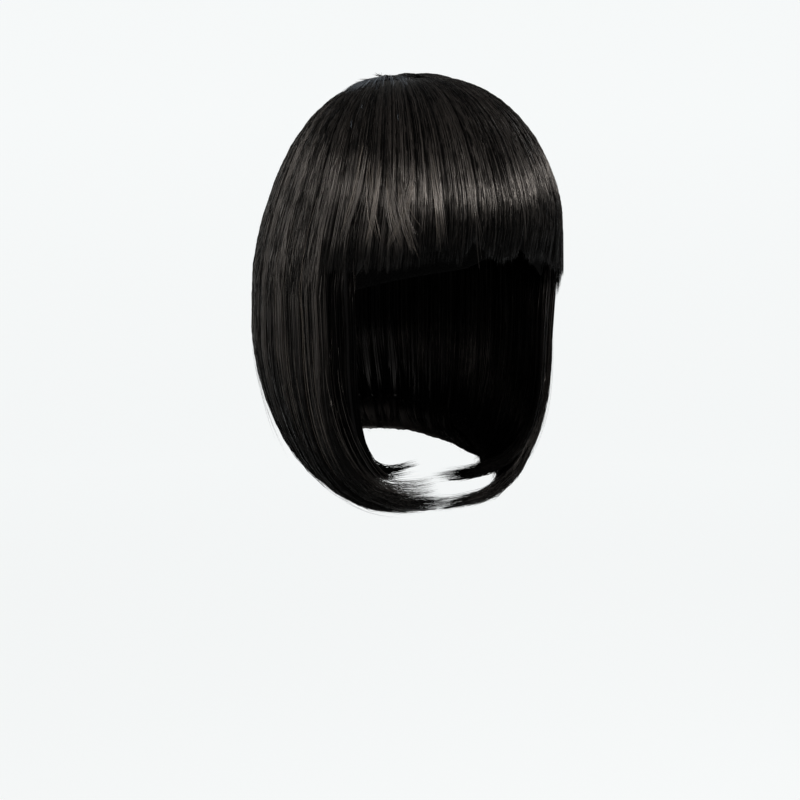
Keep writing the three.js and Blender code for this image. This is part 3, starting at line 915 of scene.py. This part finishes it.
@dataclass
class FringeCut:
    """Line at which the fringe is cut, as a share of the widest drop for each angle."""

    angles: tuple = (
        -68.0, -64.0, -60.0, -50.0, -38.0, -26.0, -20.0, -14.5, -12.6, -11.2, -9.0, -4.0, 3.0, 8.5, 10.2,
        12.0, 13.6, 16.6, 26.0, 40.0, 54.0, 62.0, 68.0,
    )
    shares: tuple = (
        0.9, 0.89, 0.8, 0.755, 0.715, 0.69, 0.68, 0.67, 0.585, 0.58, 0.665, 0.67, 0.67, 0.615, 0.575,
        0.575, 0.61, 0.67, 0.67, 0.69, 0.7, 0.71, 0.72,
    )

    def reach(self, angle: Array) -> Array:
        """Travel at which a strand of the fringe ends."""
        return HAIR.travel_at_drop(HAIR.widest * np.interp(angle, self.angles, self.shares))


@dataclass(frozen=True)
class Wisp:
    """A few strands that leave their panel: from one angle to another, with a depth and a spread."""

    lie: Lie
    root: float
    tip: float
    start: float
    end: float
    count: int
    lift: float = 0.8
    lift_tip: float = 0.8
    spread: float = 0.6
    spread_tip: float = 1.2
    width: float = 0.35
    tone: float = 0.6
    bend: float = 2.0
    root_lift: float = -3.0

    def strand_set(self, random: np.random.Generator, rows: int = 14) -> Strands:
        """Lays the wisp.

        The angle goes from the root's to the tip's by the share of the way to the power of the bend. The
        wisp stands out from the body of hair by its lift, and its strands part by its spread.

        Args:
            random: the seeded source.
            rows: points along each strand.

        Returns:
            The strands.
        """
        share = np.linspace(0, 1, rows)[None, :]
        off = random.normal(0, 1, (self.count, 1))
        spread = mix(self.spread, self.spread_tip, share)
        angle = mix(self.root, self.tip, share**self.bend) + off * spread
        angle = angle + 0.25 * waves(random, self.count, rows, (0.4, 1.2))
        ends = self.end - 0.03 * np.abs(random.normal(0, 1, (self.count, 1)))
        starts = mix(self.start, self.end, 0.3 * random.uniform(0, 1, (self.count, 1)))
        travel = mix(starts, ends, share)
        path, aside, outward = HAIR.frame(self.lie, angle, travel)
        aside = aside * np.sign(ends - starts)[..., None]
        lift = mix(self.lift, self.lift_tip, share**2) * (1.0 + 0.2 * random.normal(0, 1, (self.count, 1)))
        lift = mix(min(self.lift, self.root_lift), lift, ease(share, 0.0, 0.25))
        path = path + outward * lift[..., None]
        width = self.width * random.uniform(0.7, 1.2, (self.count, 1))
        width = width * np.clip((1 - share) / 0.3, 0, 1) ** 0.7
        tone = np.clip(self.tone + 0.12 * random.normal(0, 1, self.count), 0, 1)
        return Strands(path, aside, outward, width, 0.5 * width, tone, random.normal(0, 0.5, self.count))


@dataclass
class LooseHair:
    """Locks that part from the fringe, and single strands that stand off the outline and the tips."""

    name: str = "loose_wisps"
    wisps: tuple = (
        Wisp(FRINGE_LIE, 49.5, 50.5, 0.5, 0.79, 30,
             lift=1.2, lift_tip=2.2, spread=0.45, spread_tip=0.5, tone=1.0),
        Wisp(FRINGE_LIE, 46.0, 38.0, 0.5, 0.8, 20,
             lift=1.0, lift_tip=2.8, spread=0.6, spread_tip=0.8, tone=0.7),
        Wisp(FRINGE_LIE, 41.0, 33.5, 0.55, 0.81, 18,
             lift=1.0, lift_tip=3.0, spread=0.6, spread_tip=1.0, tone=0.8),
        Wisp(FRINGE_LIE, 36.0, 43.5, 0.5, 0.79, 18,
             lift=0.9, lift_tip=2.2, spread=0.6, spread_tip=0.7, tone=0.7),
        Wisp(FRINGE_LIE, 56.0, 60.0, 0.45, 0.8, 20,
             lift=0.9, lift_tip=1.8, spread=0.6, spread_tip=0.8, tone=0.8),
        Wisp(FRINGE_LIE, 28.0, 24.0, 0.45, 0.8, 16,
             lift=0.8, lift_tip=1.4, spread=0.6, spread_tip=0.8, tone=0.7),
        Wisp(FRINGE_LIE, 13.0, 8.0, 0.6, 0.85, 5, lift_tip=1.0, spread=0.3, spread_tip=0.4),
        Wisp(FRINGE_LIE, -9.0, -12.5, 0.6, 0.83, 4, lift_tip=1.0, spread=0.3, spread_tip=0.5),
        Wisp(FRINGE_LIE, 60.0, 57.0, 0.5, 0.9, 8, lift_tip=-0.5, spread=0.9, spread_tip=1.4, tone=0.3),
        Wisp(FRINGE_LIE, 4.0, 3.0, 0.4, 0.83, 5, lift_tip=1.4, spread=7.0, spread_tip=7.0, tone=0.3),
        Wisp(RIGHT_LIE, 69.0, 62.0, 0.7, 1.6, 3,
             lift=-2.0, lift_tip=-6.0, spread_tip=1.5, width=0.25, tone=0.9),
        Wisp(RIGHT_LIE, 71.0, 63.0, 0.9, 2.0, 8,
             lift=-7.0, lift_tip=-12.0, spread=1.5, spread_tip=3.0, tone=1.0),
        Wisp(RIGHT_LIE, 74.0, 66.0, 0.9, 2.0, 90,
             lift=-10.0, lift_tip=-16.0, spread=3.0, spread_tip=6.0, tone=0.4),
        Wisp(RIGHT_LIE, 74.0, 68.0, 0.9, 2.0, 90,
             lift=-9.0, lift_tip=-11.0, spread=3.0, spread_tip=7.0, tone=0.4),
        Wisp(RIGHT_LIE, 72.0, 66.0, 0.9, 2.0, 80,
             lift=-8.0, lift_tip=-6.0, spread=3.0, spread_tip=8.0, tone=0.4),
        Wisp(RIGHT_LIE, 112.0, 110.0, 0.9, 1.6, 5,
             lift=1.0, lift_tip=6.0, spread=5.0, spread_tip=8.0, width=0.18),
        Wisp(RIGHT_LIE, 95.0, 92.0, 1.2, 1.95, 3,
             lift=0.8, lift_tip=1.8, spread=8.0, spread_tip=12.0, width=0.18),
        Wisp(LEFT_LIE, 70.0, 66.0, 0.6, 1.7, 3,
             lift=0.5, lift_tip=2.0, spread=1.5, spread_tip=2.5, width=0.18),
        Wisp(LEFT_LIE, 95.0, 92.0, 1.0, 1.95, 3,
             lift=0.8, lift_tip=1.8, spread=8.0, spread_tip=12.0, width=0.18),
        Wisp(LEFT_LIE, 72.0, 66.0, 1.4, 2.0, 14,
             lift=-1.5, lift_tip=-7.0, spread=2.0, spread_tip=5.0, tone=0.4),
        Wisp(RIGHT_LIE, 178.0, 182.0, 0.9, 1.95, 8,
             lift=0.6, lift_tip=2.2, spread=18.0, spread_tip=20.0, width=0.2),
        Wisp(RIGHT_LIE, 92.0, 84.0, 0.02, 0.09, 16,
             lift=1.2, lift_tip=3.6, spread=6.0, spread_tip=5.0, tone=0.9),
        Wisp(RIGHT_LIE, 100.0, 112.0, 0.05, 0.13, 10,
             lift=0.8, lift_tip=2.8, spread=5.0, spread_tip=4.0, tone=0.7),
        Wisp(RIGHT_LIE, 104.0, 96.0, 0.1, 0.17, 8,
             lift=0.6, lift_tip=2.2, spread=3.0, spread_tip=2.5, tone=0.7),
    )
    # Proud strands in the lighter finish: a painted highlight where they catch the light
    lit_wisps: tuple = (
        Wisp(FRINGE_LIE, 49.5, 50.8, 0.52, 0.8, 12,
             lift=1.6, lift_tip=2.8, spread=0.4, spread_tip=0.5, width=0.3),
        Wisp(FRINGE_LIE, 46.0, 37.5, 0.52, 0.81, 7,
             lift=1.3, lift_tip=3.0, spread=0.5, spread_tip=0.8, width=0.28),
        Wisp(FRINGE_LIE, 41.0, 33.0, 0.55, 0.82, 7,
             lift=1.3, lift_tip=3.2, spread=0.5, spread_tip=1.0, width=0.28),
        Wisp(FRINGE_LIE, 36.0, 44.0, 0.52, 0.8, 7,
             lift=1.3, lift_tip=2.6, spread=0.5, spread_tip=0.7, width=0.28),
        Wisp(FRINGE_LIE, 57.0, 60.5, 0.45, 0.8, 8,
             lift=1.2, lift_tip=2.0, spread=0.6, spread_tip=0.8, width=0.28),
        Wisp(FRINGE_LIE, 53.0, 46.0, 0.5, 0.79, 6,
             lift=1.2, lift_tip=2.4, spread=0.5, spread_tip=0.7, width=0.28),
        Wisp(FRINGE_LIE, 28.0, 24.0, 0.5, 0.8, 6,
             lift=1.2, lift_tip=1.8, spread=0.6, spread_tip=0.8, width=0.25),
        Wisp(RIGHT_LIE, 76.0, 73.0, 0.5, 1.6, 5,
             lift=0.5, lift_tip=0.6, spread=1.4, spread_tip=1.8, width=0.2),
        Wisp(RIGHT_LIE, 90.0, 87.0, 0.4, 1.5, 6,
             lift=0.5, lift_tip=0.6, spread=5.0, spread_tip=5.4, width=0.2),
    )
    specks: tuple = ((62.5, 0.365), (41.1, 0.43), (55.7, 0.255), (66.0, 0.45))
    seed: int = 71

    def build(self, fibre: bpy.types.Material, lit: bpy.types.Material, pale: bpy.types.Material) -> None:
        """Builds the wisps as two pieces, and the specks of pale lint that lie on the crown.

        Args:
            fibre: finish of most wisps.
            lit: finish of the few strands that stand proud of the hair, a lighter copy of the fibre as a
                painted highlight.
            pale: finish of the lint.
        """
        random = np.random.default_rng(SEED + self.seed)
        made = Strands.joined([wisp.strand_set(random) for wisp in self.wisps]).build(self.name, fibre)
        proud = Strands.joined([wisp.strand_set(random) for wisp in self.lit_wisps]).build("painted_highlight_wisps", lit)
        specks = [
            Wisp(FRINGE_LIE, angle, angle + 0.4, travel, travel + 0.002, 2, 0.9, 1.0, 0.1, 0.1, 0.16, 0.2)
            for angle, travel in self.specks
        ]
        lint = Strands.joined([speck.strand_set(random) for speck in specks]).build("lint_specks", pale)
        for piece in (made, proud, lint):
            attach(piece, "root")
        LOG.info("%s: %d wisps", self.name, len(self.wisps))


@dataclass
class FoundationCap:
    """Stretch net cap with rows of wefts inside it."""

    name: str = "foundation_cap_net"
    columns: int = 120
    rows: int = 54
    weft_pitch: float = 13.0

    def build(self, net: bpy.types.Material) -> None:
        """Builds the cap.

        The outside is the head's form grown by the wall. The inside is the head's form with a low round
        ridge at each weft, a sine of the height to the sixth power.

        Args:
            net: its finish.
        """
        angle = np.linspace(0, 360, self.columns, endpoint=False)[None, :]
        down = np.linspace(0.03, 1, self.rows + 1)[:, None]
        angle, down = np.broadcast_arrays(angle, down)
        outer = HEAD.point(angle, down, np.full_like(angle, HEAD.wall - 0.1))
        inner = HEAD.point(angle, down, np.full_like(angle, 0.4))
        ridge = np.sin(math.pi * inner[..., 2] / self.weft_pitch) ** 6
        ridge = ridge * ease(down, 0.2, 0.35) * (1.0 - ease(down, 0.93, 0.97))
        inner = inner + (inner - outer) * (ridge * 0.35)[..., None]
        uv = np.stack([angle * 1.5 / 100.0, down * 1.7], axis=-1)
        points, quads, flat = closed_shell(outer, inner, uv, ring=True)
        piece = make_object(self.name, points, quads, np.zeros((0, 3), int), flat, net)
        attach(piece, "root")
        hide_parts("foundation_cap")
        LOG.info("%s: %d faces", self.name, len(quads))


@dataclass
class CrownWhorl:
    """Rosette of short strands round the crown, from which all the hair runs."""

    name: str = "crown_whorl_tufts"
    strands: int = 560
    pale: int = 150
    rows: int = 6
    seed: int = 31

    def strand_set(
        self,
        random: np.random.Generator,
        count: int,
        sector: tuple,
        reach: tuple,
        rise: tuple,
        width: tuple,
        swirl: float,
    ) -> Strands:
        """Lays strands that start near the middle, swirl a little and lie down outward.

        Args:
            random: the seeded source.
            count: number of strands.
            sector: least and most angle.
            reach: least and most travel of the tips.
            rise: least and most height over the body of hair.
            width: least and most width.
            swirl: degrees by which a strand turns on its way.

        Returns:
            The strands.
        """
        root = random.uniform(*sector, count)
        share = np.linspace(0, 1, self.rows)[None, :]
        start = random.uniform(0.004, 0.05, count)[:, None]
        end = random.uniform(*reach, count)[:, None]
        travel = start + (end - start) * share
        angle = root[:, None] + swirl * (1.0 - share) ** 2
        path, aside, outward = HAIR.frame(RIGHT_LIE, angle, travel)
        lift = random.uniform(*rise, count)[:, None] * np.sin(math.pi * share**0.8)
        tuft = (1.0 + np.sin(np.radians(root) * 7 + 1.0))[:, None] * 0.5 * np.sin(math.pi * share)
        path = path + outward * (lift + tuft + 0.15)[..., None]
        wide = random.uniform(*width, count)[:, None] * np.clip((1 - share) / 0.3, 0, 1)
        tone = np.clip(random.normal(0.35, 0.25, count), 0, 1)
        rolls = random.normal(0, 0.5, count)
        return Strands(path, aside, outward, wide, STRAND_HEIGHT * wide, tone, rolls)

    def build(self, fibre: bpy.types.Material, pale: bpy.types.Material) -> None:
        """Builds the rosette and the pale strands over it.

        Args:
            fibre: finish of the rosette.
            pale: finish of the strands that stand up at the parting point, painted a pale grey for the skylight
                on them.
        """
        random = np.random.default_rng(SEED + self.seed)
        lying = self.strand_set(
            random, self.strands, (-180.0, 180.0), (0.11, 0.21), (-0.8, 0.9), (0.3, 0.6), 35.0
        )
        tufts = lying.build(self.name, fibre)
        # Strands in the pale finish, whose grey is painted skylight
        standing = self.strand_set(
            random, self.pale, (24.0, 104.0), (0.12, 0.28), (0.1, 0.8), (0.14, 0.3), 8.0
        )
        tips = standing.build("crown_whorl_painted_skylight", pale)
        for piece in (tufts, tips):
            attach(piece, "root")
        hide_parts("crown_whorl")
        LOG.info("%s: %d strands", self.name, self.strands)


@dataclass
class Studio:
    """White sweep, soft lights and the camera."""

    floor_height: float = -1.0
    sweep_flat: float = 3.3
    sweep_bend: float = 0.8
    sweep_top: float = 6.0
    lane_glow: float = 0.86
    room_glow: float = 0.24
    high_glow: float = 0.08
    columns: int = 72
    steps: int = 16
    bend_steps: int = 12
    middle: float = 0.2
    lane_start: tuple = (0.0, 1.2)
    lane_half: float = 0.62
    lane_widen: float = 0.22
    lane_edge: float = 2.4
    lane_top: tuple = (0.25, 1.6)
    room_fade: tuple = (0.3, 2.2)
    lamp_colour: tuple = (1.0, 0.962, 0.922)
    lamp_target: tuple = (0.0, 0.0, -0.12)
    sensor: float = 36.0
    focal_px: float = 1882.0
    frame_px: float = 800.0
    camera_place: tuple = (-0.6151, -1.0166, 0.0428)
    pitch: float = -11.25
    yaw: float = -30.76

    def sweep(self) -> None:
        """Builds the sweep: a round floor that bends up through a quarter circle into a wall all round.

        Its tone is the room's, which falls off with height, plus the light of a lane. The lane begins under
        the wig, widens away from the camera and ends a little above the wig, each by a smooth step.
        """
        turn = np.linspace(0, math.pi / 2, self.bend_steps + 1)[1:]
        flat = np.linspace(self.middle, self.sweep_flat, self.steps)
        wall = np.linspace(self.sweep_bend, self.sweep_top, self.steps + 1)[1:]
        out = self.sweep_flat + self.sweep_bend
        bend = self.sweep_flat + self.sweep_bend * np.sin(turn)
        radius = np.concatenate([flat, bend, np.full(self.steps, out)])
        rise = np.concatenate([np.zeros(self.steps), self.sweep_bend * (1.0 - np.cos(turn)), wall])
        around = np.linspace(0, 2 * math.pi, self.columns, endpoint=False)[None, :]
        x, y = radius[:, None] * np.cos(around), radius[:, None] * np.sin(around)
        z = np.broadcast_to(rise[:, None] + self.floor_height, x.shape)
        ids = np.arange(x.size).reshape(x.shape)
        after = np.roll(ids, -1, axis=1)
        quads = np.stack([ids[:-1], ids[1:], after[1:], after[:-1]], axis=-1).reshape(-1, 4)
        middle = np.stack([np.full(self.columns, x.size), ids[0], after[0]], axis=-1)
        points = np.stack([x, y, z], axis=-1).reshape(-1, 3)
        points = np.concatenate([points, [[0.0, 0.0, self.floor_height]]])
        tone = self.glow(points)
        paper = SweepFinish().material()
        piece = make_object("photo_sweep", points * METRE, quads, middle, points[:, :2], paper, tone)

    def glow(self, points: Array) -> Array:
        """Light that comes through the sweep at its points, from the room's and the lane's.

        Args:
            points: places on the sweep in metres.

        Returns:
            The glow's strength at each.
        """
        x, y, z = points.T
        view = math.radians(-self.yaw)
        ahead = x * math.sin(view) + y * math.cos(view)
        aside = np.abs(x * math.cos(view) - y * math.sin(view))
        lane = self.lane_half + self.lane_widen * np.maximum(ahead, 0.0)
        lit = ease(ahead, *self.lane_start) * (1.0 - ease(aside, lane, lane + self.lane_edge))
        lit = lit * (1.0 - ease(z, *self.lane_top))
        room = mix(self.room_glow, self.high_glow, ease(z, *self.room_fade))
        return room + (self.lane_glow - room) * lit

    def lamp(
        self, name: str, azimuth: float, elevation: float, away: float, size: tuple, power: float
    ) -> None:
        """Adds a soft rectangular light that faces the wig.

        Args:
            name: its name.
            azimuth: degrees round the wig, 0 in front of the wearer and positive towards the wearer's left.
            elevation: degrees above the wig's middle.
            away: distance in metres.
            size: width and height in metres.
            power: watts.
        """
        data = bpy.data.lights.new(name, "AREA")
        data.shape = "RECTANGLE"
        data.size, data.size_y = size
        data.energy = power
        data.color = self.lamp_colour
        lamp = bpy.data.objects.new(name, data)
        bpy.context.scene.collection.objects.link(lamp)
        side, up = math.radians(azimuth), math.radians(elevation)
        middle = Vector(self.lamp_target)
        offset = Vector((math.sin(side) * math.cos(up), -math.cos(side) * math.cos(up), math.sin(up)))
        lamp.location = middle + offset * away
        lamp.rotation_euler = (-offset).to_track_quat("-Z", "Y").to_euler()

    def build(self) -> None:
        """Builds the sweep, the lights and the camera."""
        self.sweep()
        self.lamp("key_softbox", 9.0, 27.5, 1.9, (2.8, 0.5), 71.0)
        self.lamp("left_strip", -98.0, 15.0, 1.8, (0.45, 1.25), 16.0)
        self.lamp("right_strip", 110.0, 20.0, 1.8, (0.4, 0.8), 2.0)
        world = bpy.data.worlds.new("soft_room")
        world.use_nodes = True
        world.node_tree.nodes["Background"].inputs["Color"].default_value = linear("E9EEF4")
        world.node_tree.nodes["Background"].inputs["Strength"].default_value = 0.1
        bpy.context.scene.world = world
        data = bpy.data.cameras.new("photo_camera")
        data.sensor_width = self.sensor
        data.lens = self.sensor * self.focal_px / self.frame_px
        data.clip_end = 30.0
        camera = bpy.data.objects.new("photo_camera", data)
        camera.location = self.camera_place
        camera.rotation_euler = (math.radians(90.0 + self.pitch), 0.0, math.radians(self.yaw))
        bpy.context.scene.collection.objects.link(camera)
        bpy.context.scene.camera = camera
        bpy.context.scene.view_settings.view_transform = "Standard"
        bpy.context.scene.view_settings.look = "None"
        LOG.info("studio: sweep, lights and camera")


def under_depth(angle: Array, travel: Array) -> Array:
    """Depth of the under layer: clear of the over layer, and more where the tips lift under the chin."""
    far = folded(angle)
    front = 1.0 - ease(far, 60.0, 100.0)
    return 7.4 + (8.0 + 9.0 * front) * ease(travel, 1.5, 1.95)


def hook_depth(angle: Array, travel: Array) -> Array:
    """Depth of the left side of the under layer, whose tips hang a little lower than the right side's."""
    return np.minimum(under_depth(angle, travel), 7.4 + 10.0 * ease(travel, 1.5, 1.95))


def under_reach(angle: Array) -> Array:
    """Travel at the tips of the under layer: longest under the chin."""
    far = folded(angle)
    return mix(1.8, 1.97, 1.0 - ease(far, 75.0, 118.0))


def panels() -> list[tuple[HairPanel, bool]]:
    """All the panels of hair, each with whether it is of the shaded under layer."""
    # The fringe's painted shade darkens its lower third, less on its near side.
    blunt = Comb(
        lock=6.5, wisp=1.2, lock_pull=(0.03, 0.1), wisp_pull=(0.15, 0.5), lock_groove=0.5, spread=1.4,
        lock_wander=0.3, wisp_wander=0.25, strand_wander=0.22, width=(0.3, 0.65), taper=0.12,
        ragged=0.008, shorter=0.022, edge=1.5, painted_tip_shade=0.75, painted_tip_shade_from=(0.66, 0.78),
        painted_tip_shade_until=(28.0, 44.0),
    )
    near = Comb(tip_turn=-7.0, front_turn=-19.0, ragged=0.04)
    far = Comb(tip_turn=-9.0, front_turn=-30.0, front_fade=(68.0, 84.0), tip_open=0.25, ragged=0.03)
    behind = Comb(spill=2.4)
    shaded = Comb(lock=5.0, wisp=1.4, spread=1.2, width=(0.4, 0.9), edge=3.5, spill=2.5)
    feathered = replace(shaded, ragged=0.12, shorter=0.12)
    hooked = replace(shaded, spread=3.2, tip_turn=-24.0, front_turn=-10.0, front_fade=(60.0, 84.0))
    under = {"reach": under_reach, "depth": under_depth, "mass_depth": 1.2, "thickness": 2.4, "start": 0.8}
    under.update({"rows": 10, "inner_share": 0.6, "inner_start": 0.8, "proud": 0.2, "inset": 0.2})
    fringe = HairPanel(
        "fringe_hair", "fringe", FRINGE_LIE, -68.0, 68.0, 3400, rows=10, reach=FringeCut().reach, comb=blunt,
        thickness=1.8, mass_depth=1.6, mass_short=0.05, inner_share=0.08, inner_start=0.5, seed=3,
    )
    low = {**under, "depth": hook_depth}
    nape = HairPanel(
        "nape_under", "nape_under_hair", RIGHT_LIE, 115.0, 245.0, 1250, comb=shaded, mass_short=0.2, seed=15,
        **{**under, "inner_share": 0.7},
    )
    hook = HairPanel(
        "right_under", "right_under_hair", RIGHT_LIE, 60.0, 118.0, 950, comb=feathered, mass_short=0.3,
        seed=11, **under,
    )
    left_hook = HairPanel(
        "left_under", "left_under_hair", LEFT_LIE, 60.0, 120.0, 930, comb=hooked, seed=13, **low
    )
    return [
        (fringe, False),
        (HairPanel("right_side", "right_side_hair", RIGHT_LIE, 68.0, 125.0, 2050, comb=near, seed=5), False),
        (HairPanel("left_side", "left_side_hair", LEFT_LIE, 68.0, 125.0, 2050, comb=far, seed=7), False),
        (HairPanel("back", "back_hair", RIGHT_LIE, 125.0, 235.0, 2120, comb=behind, inset=-1.2, seed=9), False),
        (hook, True),
        (left_hook, True),
        (nape, True),
    ]


def main() -> None:
    """Builds the wig and its studio."""
    logging.basicConfig(level=logging.INFO, format="%(name)s: %(message)s")
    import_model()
    Studio().build()
    # Near-black fibre whose smooth wall gives a broad brown-grey sheen across the strands
    fibre = FibreFinish("off_black_modacrylic_fibre").material()
    # The same fibre darkened for the under layer as painted shade, with hardly any sheen left
    shaded = FibreFinish("shaded_modacrylic_fibre", dark="020202", light="080707", gloss=(0.02, 0.22))
    shade_fibre = shaded.material()
    # Single strands proud of the rest, drawn as thin paler lines in a lighter copy of the fibre: a painted
    # highlight
    proud = FibreFinish("painted_highlight_modacrylic_fibre", dark="1D1B19", light="4F4943", gloss=(0.3, 1.0))
    lit_fibre = proud.material()
    # Crown strands painted a faint cool grey for the skylight that they catch, a painted highlight; the lint
    # specks take the same finish as their own pale colour
    skylit = FibreFinish("crown_fibre_in_skylight", dark="2A2E34", light="7A848E", roughness=0.5)
    pale_fibre = skylit.material()
    # Combed fibre seen between the strands: the same near-black, flatter and in fine streaks
    mass = MassFinish("combed_modacrylic_mass").material()
    # The same mass darkened for the under layer: painted shade
    shaded_mass_finish = MassFinish("shaded_modacrylic_mass", dark="020202", light="070606", specular=0.08)
    shade_mass = shaded_mass_finish.material()
    # Matt textured nylon with no gleam, whose mesh reads as a fine diamond relief
    FoundationCap().build(NetFinish("black_stretch_net").material())
    CrownWhorl().build(fibre, pale_fibre)
    for panel, under in panels():
        panel.build(*((shade_fibre, shade_mass, "under_hair") if under else (fibre, mass, "hair")))
    LooseHair().build(fibre, lit_fibre, pale_fibre)


if __name__ == "__main__":
    main()
